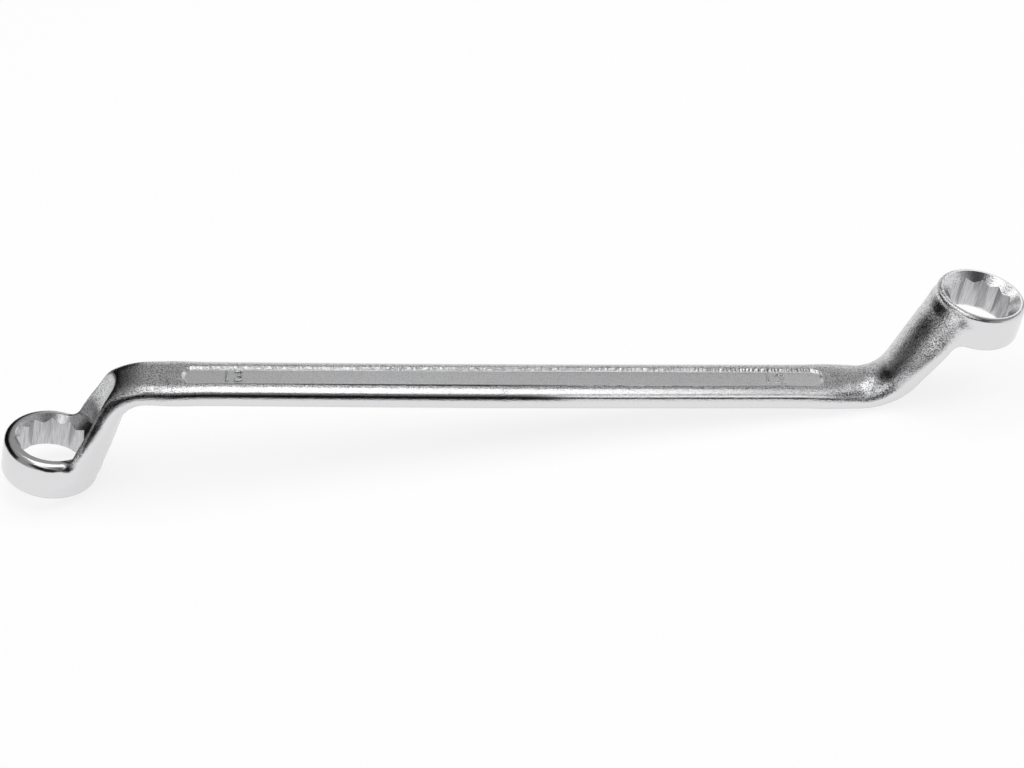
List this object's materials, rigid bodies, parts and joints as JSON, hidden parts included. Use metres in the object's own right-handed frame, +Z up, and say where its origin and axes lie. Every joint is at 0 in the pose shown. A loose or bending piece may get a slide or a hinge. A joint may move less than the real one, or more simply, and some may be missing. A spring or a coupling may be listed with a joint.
{
  "type": "offset ring spanner",
  "caption": "Slim forged double-ended ring spanner, cranked up at one end and down at the other, with twelve-point ring heads for hexagon nuts and bolts.",
  "frame": {"origin": "middle of the spanner's length and width, on the surface that it lies on", "axes": "+X along the spanner towards the 12 mm ring, +Y across its width, +Z up from the surface; the spanner rests on its 13 mm ring and on the bend at the other end"},
  "size_m": [0.2144, 0.0204, 0.0254],
  "materials": {
    "satin_chrome": "satin chrome plate over a fine blasted forging skin, with machined ring bores"
  },
  "bodies": {
    "root": {"spanner_forging": "satin_chrome"}
  },
  "joints": []
}
